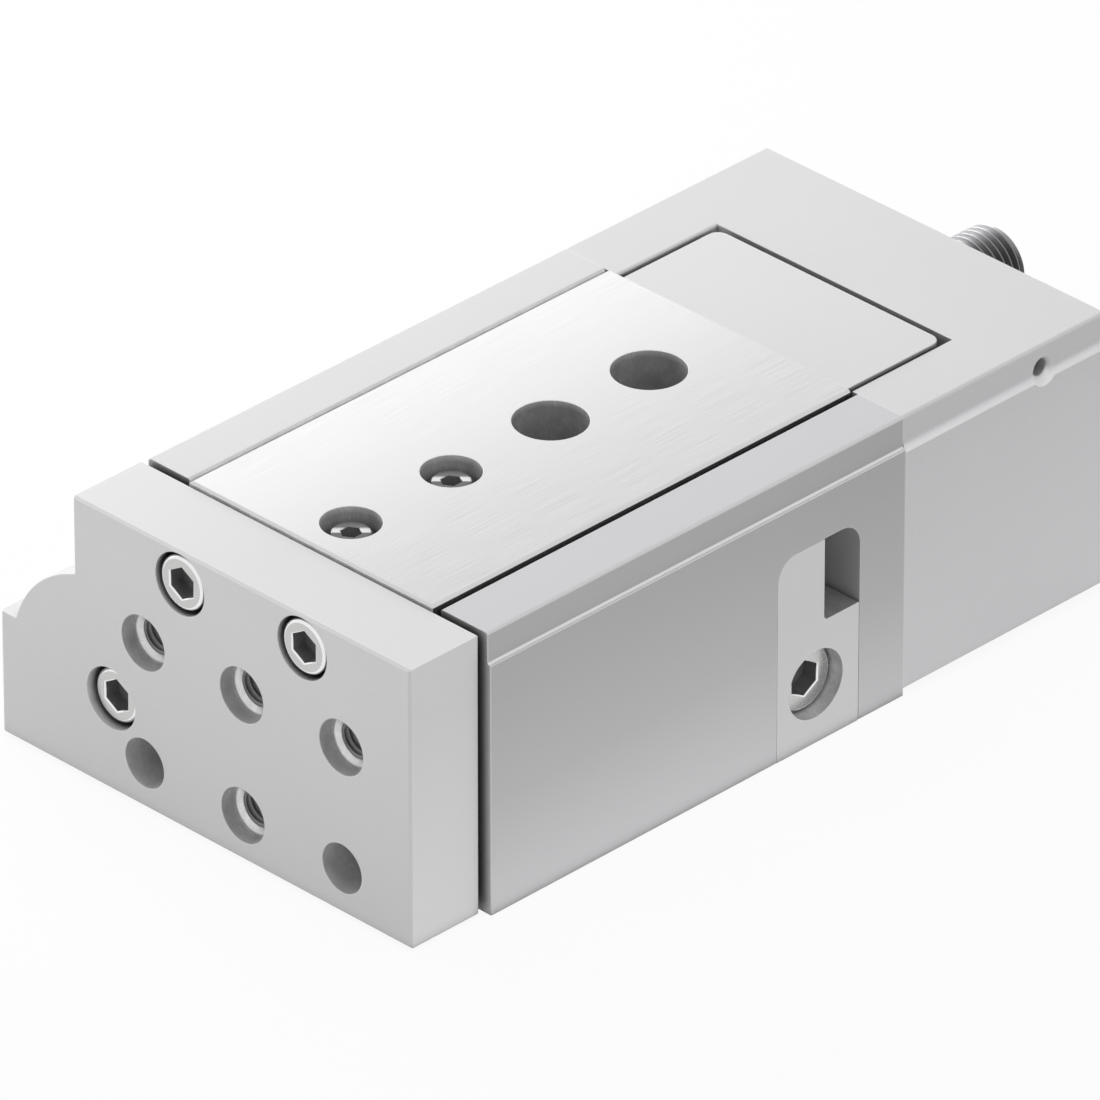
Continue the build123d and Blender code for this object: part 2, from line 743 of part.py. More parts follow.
# Front body: slide pocket, rail seats, cylinder bore, stop channel and side pocket
with BuildPart() as housing:
    body_section = foot_section(
        front_face(seam_y),
        0,
        body_height,
        body_left_x,
        body_right_x,
        body_upper_left_x,
        flange_height,
        boss_radius,
    )
    extrude(body_section, amount=front_body_length)
    ledge_strip = ledge_section(front_face(seam_y), ledge_height, ledge_slope_height)
    extrude(ledge_strip, amount=front_body_length, mode=Mode.SUBTRACT)
    slot_strip = sensor_slot_section(front_face(seam_y))
    extrude(slot_strip, amount=front_body_length, mode=Mode.SUBTRACT)
    with BuildSketch(front_face(seam_y)):
        with Locations((guide_x, rail_top_z)):
            Rectangle(2 * pocket_half_width, body_height, align=(Align.CENTER, Align.MIN))
        with Locations((guide_x, pocket_floor_z)):
            Rectangle(2 * rail_back_offset, body_height, align=(Align.CENTER, Align.MIN))
    extrude(amount=front_body_length, mode=Mode.SUBTRACT)
    top_edges = housing.edges().filter_by(Axis.Y).group_by(Axis.Z)[-1]
    chamfer(top_edges, edge_break)
    with BuildSketch(front_face(seam_y)):
        with Locations((guide_x - channel_half_width, channel_floor_z)):
            Rectangle(
                2 * channel_half_width, pocket_floor_z - channel_floor_z + edge_break, align=corner
            )
    extrude(amount=seam_y - channel_front_y, mode=Mode.SUBTRACT)
    with Locations(rear_face(channel_front_y)):
        with Locations((-guide_x, stop_z)):
            Hole(stop_bolt_radius + running_clearance, channel_front_y - stop_bolt_front_y + cut_margin)
    with Locations(front_face(body_front_y)):
        with Locations(rod_screw_spot):
            Hole(bore_radius, front_body_length)
    with BuildSketch(front_face(gland_front_y)):
        with Locations(rod_screw_spot):
            Circle(bore_radius + circlip_reach)
    extrude(amount=circlip_thickness, mode=Mode.SUBTRACT)
    with BuildSketch(side_face(body_right_x)):
        with Locations((side_pocket_front_y, 0)):
            Rectangle(side_pocket_length, side_pocket_height, align=corner)
    extrude(amount=-side_pocket_depth, mode=Mode.SUBTRACT)
    pocket_corners = (
        housing.edges()
        .filter_by(Axis.X)
        .filter_by_position(
            Axis.Z, side_pocket_height - pick_tolerance, side_pocket_height + pick_tolerance
        )
    )
    fillet(pocket_corners, side_pocket_corner)
    with BuildSketch(side_face(side_pocket_floor_x)):
        with Locations((window_middle_y, stop_z)):
            Rectangle(duct_width, duct_height)
    duct_length = side_pocket_floor_x - guide_x - channel_half_width + cut_margin
    extrude(amount=-duct_length, mode=Mode.SUBTRACT)
    with Locations(side_face(side_pocket_floor_x)):
        with Locations((side_screw_y, side_screw_height)):
            Hole(m5_radius + running_clearance, side_screw_grip + cut_margin)
    with Locations(rear_face(seam_y)):
        with Locations(*joint_screw_spots(-1)):
            Hole(m3_radius + running_clearance, joint_thread_depth)
        with Locations((-retract_passage_x, retract_passage_height)):
            Hole(passage_radius, seam_y - retract_cross_y)
    with BuildSketch(side_face(retract_passage_x)):
        with Locations((retract_cross_y, retract_passage_height)):
            Circle(passage_radius)
    extrude(amount=retract_passage_offset - bore_radius + cut_margin, mode=Mode.SUBTRACT)
    with Locations(under_face(0)):
        with Locations((guide_x - base_pattern_shift, -base_pattern_y)):
            with GridLocations(base_hole_spacing_x, base_hole_spacing_y, 2, 2):
                CounterBoreHole(
                    mounting_thread_radius, centring_radius, base_centring_depth, base_hole_depth
                )
housing.part.label = "housing"
export_step(housing.part, "parts/housing.step")

# Rear body: closes the cylinder, holds the shock absorber and the air ports
with BuildPart() as rear_housing:
    rear_section = foot_section(
        front_face(body_rear_y),
        rear_body_lift,
        body_height,
        body_left_x,
        body_right_x,
        body_upper_left_x,
        flange_height,
        boss_radius,
    )
    extrude(rear_section, amount=rear_body_length)
    rear_strip = ledge_section(
        front_face(body_rear_y), rear_ledge_height, rear_ledge_slope_height
    )
    extrude(rear_strip, amount=rear_body_length, mode=Mode.SUBTRACT)
    rear_slot_strip = sensor_slot_section(front_face(body_rear_y))
    extrude(rear_slot_strip, amount=rear_body_length, mode=Mode.SUBTRACT)
    with BuildSketch(Plane.XY.offset(pocket_floor_z)):
        with Locations((guide_x - rear_pocket_left, seam_y)):
            Rectangle(rear_pocket_left + rear_pocket_right, rear_pocket_length, align=corner)
    extrude(amount=body_height, mode=Mode.SUBTRACT)
    with BuildSketch(Plane.XY.offset(channel_floor_z)):
        with Locations((guide_x - channel_half_width, seam_y)):
            Rectangle(2 * channel_half_width, rear_pocket_length, align=corner)
    extrude(amount=pocket_floor_z - channel_floor_z + edge_break, mode=Mode.SUBTRACT)
    rear_rim = rear_housing.faces().sort_by(Axis.Z)[-1].outer_wire().edges()
    side_rims = rear_rim.filter_by(Axis.Y)
    back_rim = rear_rim.filter_by(Axis.X).sort_by(Axis.Y)[-1:]
    chamfer(side_rims + back_rim, edge_break)
    with Locations(rear_face(body_rear_y)):
        with Locations((-guide_x, absorber_z)):
            CounterBoreHole(
                absorber_radius + running_clearance,
                absorber_nut_bore_radius,
                absorber_nut_recess + absorber_nut_thickness,
            )
        with Locations(*joint_screw_spots(-1)):
            CounterBoreHole(
                m3_radius + shank_clearance,
                m3_head_radius + sunk_head_clearance,
                joint_head_depth,
            )
        with Locations(*port_spots):
            Hole(port_radius, port_depth)
            Hole(passage_radius, rear_body_length)
    with Locations(side_face(body_right_x)):
        with Locations((seam_y + ledge_hole_from_seam, rear_ledge_height + ledge_hole_rise)):
            CounterSinkHole(ledge_hole_radius, ledge_hole_sink_radius, ledge_hole_depth)
rear_housing.part.label = "rear_housing"
export_step(rear_housing.part, "parts/rear_housing.step")

# Screws that join the rear body to the front body, sunk in the rear face
joint_screw = cap_screw(
    m3_radius, joint_screw_length, m3_head_radius, m3_head_height, m3_key_flats, m3_key_depth
)
with BuildPart() as housing_screws:
    with Locations(rear_face(joint_head_top_y)):
        with Locations(*joint_screw_spots(-1)):
            add(joint_screw)
housing_screws.part.label = "housing_screws"
export_step(housing_screws.part, "parts/housing_screws.step")

# Guide rails: hardened strips with the outer ball tracks
for side, rail_name in ((-1, "guide_rail_left"), (1, "guide_rail_right")):
    with BuildPart() as guide_rail:
        with BuildSketch(front_face(seam_y - edge_break)):
            rail_middle_x = guide_x + side * (rail_face_offset + rail_thickness / 2)
            with Locations((rail_middle_x, ball_z)):
                Rectangle(rail_thickness, rail_top_z - pocket_floor_z)
            with Locations((guide_x + side * ball_offset, ball_z)):
                Circle(ball_radius + ball_clearance, mode=Mode.SUBTRACT)
        extrude(amount=front_body_length - 2 * edge_break)
    guide_rail.part.label = rail_name
    export_step(guide_rail.part, "parts/" + rail_name + ".step")

# Ball cages: one strip and one row of balls on each side of the slide
ball_spots = [
    (cage_middle_y + (index - (ball_count - 1) / 2) * ball_pitch, ball_z)
    for index in range(ball_count)
]
for side, side_name in ((-1, "left"), (1, "right")):
    ball_x = guide_x + side * ball_offset
    with BuildPart() as ball_cage:
        with BuildSketch(side_face(ball_x - cage_thickness / 2)):
            with Locations((cage_middle_y, ball_z)):
                RectangleRounded(cage_length, cage_height, cage_corner_radius)
            with Locations(*ball_spots):
                Circle(ball_radius + running_clearance, mode=Mode.SUBTRACT)
        extrude(amount=cage_thickness)
    ball_cage.part.label = "ball_cage_" + side_name
    export_step(ball_cage.part, "parts/ball_cage_" + side_name + ".step")
    with BuildPart() as cage_balls:
        with Locations(*[(ball_x, y, z) for y, z in ball_spots]):
            Sphere(ball_radius)
    cage_balls.part.label = "cage_balls_" + side_name
    export_step(cage_balls.part, "parts/cage_balls_" + side_name + ".step")

# Rod gland: guides the piston rod and closes the front of the cylinder
with BuildPart() as rod_gland:
    with BuildSketch(front_face(gland_rear_y)):
        with Locations(rod_screw_spot):
            Circle(bore_radius - static_clearance)
            Circle(rod_radius + running_clearance, mode=Mode.SUBTRACT)
    extrude(amount=gland_length)
    with BuildSketch(front_face(gland_front_y + rod_seal_width)):
        with Locations(rod_screw_spot):
            Circle(rod_radius + rod_seal_depth)
    extrude(amount=rod_seal_width, mode=Mode.SUBTRACT)
    with BuildSketch(front_face(gland_groove_y + seal_width / 2)):
        with Locations(rod_screw_spot):
            Circle(bore_radius + cut_margin)
            Circle(bore_radius - seal_depth, mode=Mode.SUBTRACT)
    extrude(amount=seal_width, mode=Mode.SUBTRACT)
rod_gland.part.label = "rod_gland"
export_step(rod_gland.part, "parts/rod_gland.step")

# Lip seal around the piston rod
with BuildPart() as rod_seal:
    with BuildSketch(front_face(gland_front_y + rod_seal_width - static_clearance)):
        with Locations(rod_screw_spot):
            Circle(rod_radius + rod_seal_depth - static_clearance)
            Circle(rod_radius + static_clearance, mode=Mode.SUBTRACT)
    extrude(amount=rod_seal_width - 2 * static_clearance)
rod_seal.part.label = "rod_seal"
export_step(rod_seal.part, "parts/rod_seal.step")

# Sealing rings of the gland and of the bung
with BuildPart() as bore_seals:
    for middle in (gland_groove_y, bung_groove_y):
        with BuildSketch(front_face(middle + seal_width / 2 - static_clearance)):
            with Locations(rod_screw_spot):
                Circle(bore_radius - static_clearance)
                Circle(bore_radius - seal_depth + static_clearance, mode=Mode.SUBTRACT)
        extrude(amount=seal_width - 2 * static_clearance)
bore_seals.part.label = "bore_seals"
export_step(bore_seals.part, "parts/bore_seals.step")

# Retaining ring in front of the gland
with BuildPart() as gland_circlip:
    with BuildSketch(front_face(gland_front_y - static_clearance)):
        with Locations(rod_screw_spot):
            Circle(bore_radius + circlip_reach - static_clearance)
            Circle(rod_radius + rod_seal_depth, mode=Mode.SUBTRACT)
        with Locations((piston_x, piston_height - bore_radius)):
            Rectangle(circlip_mouth, bore_radius, mode=Mode.SUBTRACT)
    extrude(amount=circlip_thickness - 2 * static_clearance)
gland_circlip.part.label = "gland_circlip"
export_step(gland_circlip.part, "parts/gland_circlip.step")

# Bung that closes the rear of the cylinder, with the air hole for the extending stroke
with BuildPart() as bore_bung:
    with BuildSketch(front_face(seam_y)):
        with Locations(rod_screw_spot):
            Circle(bore_radius - static_clearance)
        with Locations(extend_port_spot):
            Circle(passage_radius, mode=Mode.SUBTRACT)
    extrude(amount=bung_thickness)
    with BuildSketch(front_face(bung_groove_y + seal_width / 2)):
        with Locations(rod_screw_spot):
            Circle(bore_radius + cut_margin)
            Circle(bore_radius - seal_depth, mode=Mode.SUBTRACT)
    extrude(amount=seal_width, mode=Mode.SUBTRACT)
bore_bung.part.label = "bore_bung"
export_step(bore_bung.part, "parts/bore_bung.step")

# Front stop: a threaded bolt with a lock nut and a rubber buffer on its rear end
with BuildPart() as stop_bolt:
    with BuildSketch(front_face(stop_bolt_rear_y)):
        with Locations((guide_x, stop_z)):
            Circle(stop_bolt_radius)
    extrude(amount=stop_bolt_length)
    chamfer(stop_bolt.edges().group_by(Axis.Y)[0], stop_bolt_chamfer)
    with BuildSketch(front_face(stop_bolt_front_y)):
        with Locations((guide_x, stop_z)):
            RegularPolygon(hex_radius(stop_bolt_key_flats), 6)
    extrude(amount=-stop_bolt_key_depth, mode=Mode.SUBTRACT)
stop_bolt.part.label = "stop_bolt"
export_step(stop_bolt.part, "parts/stop_bolt.step")

with BuildPart() as stop_nut:
    with BuildSketch(front_face(channel_front_y + stop_nut_thickness)):
        with Locations((guide_x, stop_z)):
            RegularPolygon(hex_radius(stop_nut_flats), 6)
            Circle(stop_bolt_radius + static_clearance, mode=Mode.SUBTRACT)
    extrude(amount=stop_nut_thickness)
stop_nut.part.label = "stop_nut"
export_step(stop_nut.part, "parts/stop_nut.step")

with BuildPart() as stop_buffer:
    with BuildSketch(front_face(buffer_rear_y)):
        with Locations((guide_x, stop_z)):
            Circle(buffer_radius)
    extrude(amount=buffer_thickness)
    fillet(stop_buffer.edges().group_by(Axis.Y)[-1], buffer_edge_radius)
stop_buffer.part.label = "stop_buffer"
export_step(stop_buffer.part, "parts/stop_buffer.step")

# Side block: fills the side pocket and leaves the inspection window open
block_top_z = side_pocket_height - side_block_gap
with BuildPart() as side_block:
    with BuildSketch(side_face(side_pocket_floor_x)):
        with Locations((side_pocket_middle_y, 0)):
            Rectangle(
                side_pocket_length - 2 * side_block_gap,
                block_top_z,
                align=(Align.CENTER, Align.MIN),
            )
    extrude(amount=side_pocket_depth)
    block_corners = (
        side_block.edges()
        .filter_by(Axis.X)
        .filter_by_position(
            Axis.Z, block_top_z - pick_tolerance, block_top_z + pick_tolerance
        )
    )
    fillet(block_corners, side_pocket_corner - side_block_gap)
    with BuildSketch(side_face(body_right_x)):
        with Locations((window_front_y, window_bottom)):
            Rectangle(2 * window_width, side_pocket_height, align=corner)
    extrude(amount=-side_pocket_depth, mode=Mode.SUBTRACT)
    window_foot_edges = (
        side_block.edges()
        .filter_by(Axis.X)
        .filter_by_position(Axis.Z, window_bottom - pick_tolerance, window_bottom + pick_tolerance)
        .sort_by(Axis.Y)
    )
    fillet(window_foot_edges[:1], window_corner)
    with Locations(side_face(body_right_x)):
        with Locations((side_screw_y, side_screw_height)):
            CounterBoreHole(
                m5_radius + shank_clearance,
                m5_low_head_radius + sunk_head_clearance,
                side_pocket_depth - side_screw_seat,
            )
side_block.part.label = "side_block"
export_step(side_block.part, "parts/side_block.step")

# Screw that holds the side block
side_screw = cap_screw(
    m5_radius,
    side_screw_length,
    m5_low_head_radius,
    m5_low_head_height,
    m5_low_key_flats,
    m5_low_key_depth,
)
with BuildPart() as side_block_screw:
    with Locations(side_face(side_screw_top_x)):
        with Locations((side_screw_y, side_screw_height)):
            add(side_screw)
side_block_screw.part.label = "side_block_screw"
export_step(side_block_screw.part, "parts/side_block_screw.step")

# Shock absorber: threaded body, lock nut and sprung plunger
with BuildPart() as absorber_body:
    with BuildSketch(front_face(absorber_end_y)):
        with Locations((guide_x, absorber_z)):
            Circle(absorber_radius)
    extrude(amount=absorber_end_y - absorber_front_y)
    chamfer(absorber_body.edges().group_by(Axis.Y)[-1], absorber_chamfer)
    chamfer(absorber_body.edges().group_by(Axis.Y)[0], edge_break)
    with Locations(front_face(absorber_front_y)):
        with Locations((guide_x, absorber_z)):
            Hole(plunger_radius + plunger_clearance, plunger_rear_y - absorber_front_y + cut_margin)
    with BuildSketch(rear_face(absorber_end_y)):
        with Locations((-guide_x, absorber_z)):
            RegularPolygon(hex_radius(absorber_key_flats), 6)
    extrude(amount=-absorber_key_depth, mode=Mode.SUBTRACT)
absorber_body.part.label = "absorber_body"
export_step(absorber_body.part, "parts/absorber_body.step")

with BuildPart() as absorber_nut:
    with BuildSketch(front_face(body_rear_y - absorber_nut_recess)):
        with Locations((guide_x, absorber_z)):
            RegularPolygon(hex_radius(absorber_nut_flats), 6)
            Circle(absorber_radius + static_clearance, mode=Mode.SUBTRACT)
    extrude(amount=absorber_nut_thickness)
absorber_nut.part.label = "absorber_nut"
export_step(absorber_nut.part, "parts/absorber_nut.step")

with BuildPart() as absorber_plunger:
    with BuildSketch(front_face(plunger_rear_y)):
        with Locations((guide_x, absorber_z)):
            Circle(plunger_radius)
    extrude(amount=plunger_rear_y - plunger_front_y)
    with BuildSketch(front_face(plunger_front_y + plunger_tip_length)):
        with Locations((guide_x, absorber_z)):
            Circle(plunger_tip_radius)
    extrude(amount=plunger_tip_length)
    chamfer(absorber_plunger.edges().group_by(Axis.Y)[0], edge_break)
absorber_plunger.part.label = "absorber_plunger"
export_step(absorber_plunger.part, "parts/absorber_plunger.step")
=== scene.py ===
import bmesh
import bpy
import json
import math
from contextlib import contextmanager
from mathutils import Matrix, Vector


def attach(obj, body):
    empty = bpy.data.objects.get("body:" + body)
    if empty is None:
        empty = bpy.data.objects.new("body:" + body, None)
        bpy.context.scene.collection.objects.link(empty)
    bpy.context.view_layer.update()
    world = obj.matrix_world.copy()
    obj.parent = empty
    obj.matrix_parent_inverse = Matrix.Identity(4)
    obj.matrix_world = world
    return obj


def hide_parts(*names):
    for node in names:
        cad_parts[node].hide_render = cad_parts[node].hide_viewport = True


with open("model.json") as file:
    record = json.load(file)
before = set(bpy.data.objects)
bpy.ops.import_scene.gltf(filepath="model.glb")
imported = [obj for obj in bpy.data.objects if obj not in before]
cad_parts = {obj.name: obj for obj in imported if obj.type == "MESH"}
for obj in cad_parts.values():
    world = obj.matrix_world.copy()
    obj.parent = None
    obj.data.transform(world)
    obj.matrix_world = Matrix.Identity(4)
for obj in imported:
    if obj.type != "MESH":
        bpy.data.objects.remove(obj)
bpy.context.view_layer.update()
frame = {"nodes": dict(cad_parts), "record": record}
nodes = frame["nodes"]
body_of = {n: b for b, members in frame["record"]["behaviour"]["bodies"].items() for n in members}
MM = 0.001
X, Y, Z = 0, 1, 2
WHITE = (1.0, 1.0, 1.0)
# A colour ramp holds each tone as a share of this one
BRIGHTEST_TONE = 3.0
# How far a normal looks one way where a painted tone of light or shade starts and where it is full
FACING_FROM, FACING_FULL = 0.9, 0.98
# Heights in mm between which the painted highlight on right edges that turn up fades out
LIFTED_HIGHLIGHT_FULL, LIFTED_HIGHLIGHT_END = 35.0, 35.5


# Node helpers
class Graph:
    """Adds and joins the nodes of one node tree."""

    def __init__(self, tree):
        self.tree = tree

    def add(self, kind, **values):
        """New node with properties or inputs set; an underscore stands for the space in an input's name."""
        node = self.tree.nodes.new(kind)
        for key, value in values.items():
            if hasattr(node, key):
                setattr(node, key, value)
            else:
                node.inputs[key.replace("_", " ")].default_value = value
        return node

    def feed(self, socket, value):
        """Give an input its source: the output of another node, a number or a colour."""
        if isinstance(value, bpy.types.NodeSocket):
            self.tree.links.new(value, socket)
        elif isinstance(value, (tuple, list)):
            socket.default_value = (*value, 1.0)
        else:
            socket.default_value = value

    def maths(self, operation, a, b):
        node = self.add("ShaderNodeMath", operation=operation)
        self.feed(node.inputs[0], a)
        self.feed(node.inputs[1], b)
        return node.outputs[0]

    def span(self, source, low, high, from_low=0.0, from_high=1.0):
        """The source's range from_low to from_high stretched to low to high, and clamped there."""
        node = self.add("ShaderNodeMapRange", From_Min=from_low, From_Max=from_high, To_Min=low, To_Max=high)
        self.feed(node.inputs["Value"], source)
        return node.outputs["Result"]

    def mix(self, factor, a, b, blend="MIX"):
        node = self.add("ShaderNodeMix", data_type="RGBA", blend_type=blend)
        for name, value in (("Factor", factor), ("A", a), ("B", b)):
            self.feed(node.inputs[name], value)
        return [o for o in node.outputs if o.enabled][0]

    def mix_shaders(self, factor, a, b):
        node = self.add("ShaderNodeMixShader")
        for i, value in enumerate((factor, a.outputs[0], b.outputs[0])):
            self.feed(node.inputs[i], value)
        return node.outputs[0]

    def seen(self):
        """1 for camera, glossy and transmission rays, which see the plain white background."""
        rays = self.add("ShaderNodeLightPath").outputs
        either = self.maths("MAXIMUM", rays["Is Camera Ray"], rays["Is Glossy Ray"])
        return self.maths("MAXIMUM", either, rays["Is Transmission Ray"])


class Surface(Graph):
    """A metal or plastic whose patterns and tones follow the object's own coordinates, in metres."""

    def __init__(self, name, metallic=0.0):
        self.mat = bpy.data.materials.new(name)
        self.mat.use_nodes = True
        super().__init__(self.mat.node_tree)
        self.bsdf = self.tree.nodes["Principled BSDF"]
        self.bsdf.inputs["Metallic"].default_value = metallic
        self.coord = self.add("ShaderNodeTexCoord")

    def finished(self, base, pattern, rough_low, rough_high, bump):
        """The material with this colour, its roughness and relief both from one pattern."""
        relief = self.add("ShaderNodeBump", Distance=bump)
        self.feed(relief.inputs["Height"], pattern)
        self.feed(self.bsdf.inputs["Base Color"], base)
        self.feed(self.bsdf.inputs["Roughness"], self.span(pattern, rough_low, rough_high, 0.3, 0.7))
        self.feed(self.bsdf.inputs["Normal"], relief.outputs["Normal"])
        return self.mat

    def noise(self, scale, detail=2.0, stretch=(1, 1, 1), rough=0.5):
        """Noise that runs in lines along an axis whose stretch is below 1."""
        mapping = self.add("ShaderNodeMapping", Scale=stretch)
        self.feed(mapping.inputs["Vector"], self.coord.outputs["Object"])
        noise = self.add("ShaderNodeTexNoise", Scale=scale, Detail=detail, Roughness=rough)
        self.feed(noise.inputs["Vector"], mapping.outputs["Vector"])
        return noise.outputs["Fac"]

    def split(self, source):
        """The X, Y and Z of the object's place or normal."""
        node = self.add("ShaderNodeSeparateXYZ")
        self.feed(node.inputs[0], self.coord.outputs[source])
        return node.outputs

    def edge_mask(self, radius):
        """1 on edges and 0 on faces."""
        soft = self.add("ShaderNodeBevel", samples=4, Radius=radius)
        dot = self.add("ShaderNodeVectorMath", operation="DOT_PRODUCT")
        self.feed(dot.inputs[0], soft.outputs["Normal"])
        self.feed(dot.inputs[1], self.add("ShaderNodeNewGeometry").outputs["Normal"])
        return self.span(dot.outputs["Value"], 1.0, 0.0, 0.93, 0.998)

    def ramp(self, source, stops, unit=MM, tinge=WHITE):
        """Tone along the source, from stops of (place, tone or colour) with places in units."""
        low, high = stops[0][0], stops[-1][0]
        node = self.add("ShaderNodeValToRGB")
        while len(node.color_ramp.elements) < len(stops):
            node.color_ramp.elements.new(0.5)
        for element, (at, tone) in zip(node.color_ramp.elements, stops):
            element.position = (at - low) / (high - low)
            shades = tone if isinstance(tone, tuple) else (tone,) * 3
            element.color = (*(t * c / BRIGHTEST_TONE for t, c in zip(shades, tinge)), 1.0)
        self.feed(node.inputs["Fac"], self.span(source, 0.0, 1.0, low * unit, high * unit))
        return self.times(node.outputs["Color"], BRIGHTEST_TONE)

    def times(self, base, share):
        return self.mix(1.0, base, (share,) * 3, "MULTIPLY")

    def shaded(self, base, where, tone):
        """The base times the tone, as far as where says."""
        return self.mix(1.0, base, self.mix(where, WHITE, tone), "MULTIPLY")

    def painted_light_tones(self, base, right=None, left=None, along=None, front=None, top=None, lifted=None, tinge=WHITE):
        """Painted light and shade in soft tones, each as stops in mm: up the faces that look right, left or to
        the front, along those that look right, and across the top. The stops of the painted highlight on right
        edges that turn up go by how far such an edge turns up, from 0 to 1.
        """
        place, normal = self.split("Object"), self.split("Normal")
        for stops, way, looks, sign, colour in (
            (right, "Z", "X", 1, tinge), (along, "Y", "X", 1, WHITE), (left, "Z", "X", -1, WHITE),
            (front, "Z", "Y", -1, WHITE), (top, "X", "Z", 1, WHITE),
        ):
            if stops:
                facing = self.span(normal[looks], 0.0, 1.0, FACING_FROM * sign, FACING_FULL * sign)
                base = self.shaded(base, facing, self.ramp(place[way], stops, tinge=colour))
        # Painted highlight on right-looking faces that turn up, faded out towards the top
        if lifted:
            facing = self.span(normal["X"], 0.0, 1.0, 0.2, 0.35)
            below_top = self.span(place["Z"], 1.0, 0.0, LIFTED_HIGHLIGHT_FULL * MM, LIFTED_HIGHLIGHT_END * MM)
            where = self.maths("MULTIPLY", facing, below_top)
            base = self.shaded(base, where, self.ramp(normal["Z"], lifted, 1.0, tinge))
        return base

    def painted_gap_shade(self, base, depth, dark):
        """Painted shade: darker in narrow gaps and deep holes, by ambient occlusion."""
        open_share = self.add("ShaderNodeAmbientOcclusion", samples=4, Distance=depth).outputs["AO"]
        return self.mix(self.span(open_share, 1.0, 0.0, 0.15, 0.8), base, self.times(base, dark))


# Materials
def tint(color, share):
    """The colour made lighter or darker, with no channel over 1."""
    return [min(1.0, c * share) for c in color]


def blasted(name, color, metallic, rough, grain=0.05, bump=0.000006, **tones):
    """Fine blasted, anodised aluminium: matt grain, slow variation, soft painted light and shade, edges brighter,
    partly worn and partly a painted highlight, and painted shade in gaps.
    """
    s = Surface(name, metallic)
    fine = s.noise(2600, 3.0, rough=0.6)
    slow = s.noise(38, 3.0)
    base = s.mix(fine, tint(color, 1 - grain), tint(color, 1 + grain))
    base = s.mix(s.span(slow, 0.0, 1.0, 0.3, 0.7), base, tint(color, 1.02))
    base = s.painted_light_tones(base, **tones)
    # Edges brighter, partly worn and partly a painted highlight
    base = s.mix(s.span(s.edge_mask(0.25 * MM), 0.0, 0.36), base, tint(color, 1.25))
    # Painted shade in gaps and holes, by ambient occlusion
    return s.finished(s.painted_gap_shade(base, 2 * MM, 0.03), fine, rough - 0.05, rough + 0.05, bump)


def ground(name, color, rough, bump=0.0000015, metallic=1.0, grain=0.03):
    """Ground steel: fine lines along the travel and faint slow variation."""
    s = Surface(name, metallic)
    lines = s.noise(5200, 2.0, (1.0, 0.02, 1.0))
    slow = s.noise(45, 2.0, (1.0, 0.25, 1.0))
    base = s.mix(lines, tint(color, 1 - grain), tint(color, 1 + grain))
    base = s.mix(s.span(slow, 0.0, 0.5, 0.35, 0.65), base, tint(color, 1.02))
    return s.finished(base, lines, rough - 0.04, rough + 0.05, bump)


def turned(name, color, rough, metallic=1.0, bump=0.0000008, grain=0.03, wear_and_highlight=0.0, lit=None, way=(1.0, 0.0, 0.0)):
    """Turned or rolled metal: a fine mottle, edges brighter, partly worn and partly a painted highlight, and
    painted light and shade from stops in mm along the way.
    """
    s = Surface(name, metallic)
    mottle = s.noise(2600, 3.0)
    base = s.mix(mottle, tint(color, 1 - grain), tint(color, 1 + grain))
    if wear_and_highlight:
        base = s.mix(s.span(s.edge_mask(0.2 * MM), 0.0, wear_and_highlight), base, tint(color, 1.5))
    # Painted light and shade along the way
    if lit:
        place = s.add("ShaderNodeVectorMath", operation="DOT_PRODUCT")
        place.inputs[1].default_value = way
        s.feed(place.inputs[0], s.coord.outputs["Object"])
        base = s.mix(1.0, base, s.ramp(place.outputs["Value"], lit), "MULTIPLY")
    return s.finished(base, mottle, rough - 0.03, rough + 0.03, bump)


def bored(name, color, metallic=0.5, rough=0.45, mouth=None):
    """Wall of a drilled or milled hole: tool marks, patches, and painted light up to its mouth from stops of
    height.
    """
    s = Surface(name, metallic)
    patch = s.noise(420, 3.0)
    lines = s.noise(1500, 2.0, (1.0, 3.0, 1.0))
    base = s.mix(s.span(patch, 0.0, 1.0, 0.3, 0.7), tint(color, 0.82), tint(color, 1.18))
    base = s.mix(s.span(lines, 0.0, 0.6, 0.4, 0.6), base, tint(color, 0.85))
    # Painted light, brighter towards the top of the wall
    if mouth:
        base = s.mix(1.0, base, s.ramp(s.split("Object")["Z"], mouth), "MULTIPLY")
    return s.finished(base, lines, rough - 0.08, rough + 0.08, 0.000006)


def moulded(name, color, rough):
    """Moulded plastic or rubber with a fine grain."""
    s = Surface(name)
    grain = s.noise(1400, 3.0)
    slow = s.noise(120, 2.0)
    base = s.mix(slow, tint(color, 0.8), tint(color, 1.25))
    return s.finished(base, grain, rough - 0.08, rough + 0.08, 0.000008)


# Painted light and shade that the blasted bodies share: a painted highlight on edges that turn up, painted
# shade on faces that look left, and a cool tinge for the tones
LIFTED_HIGHLIGHT = ((0, 1.0), (0.12, 1.0), (0.3, 1.25), (0.6, 1.45), (0.9, 1.2), (0.99, 1.0))
LEFT_SHADE = ((0, 0.8), (37, 0.8))
COOL = (0.998, 0.998, 1.003)
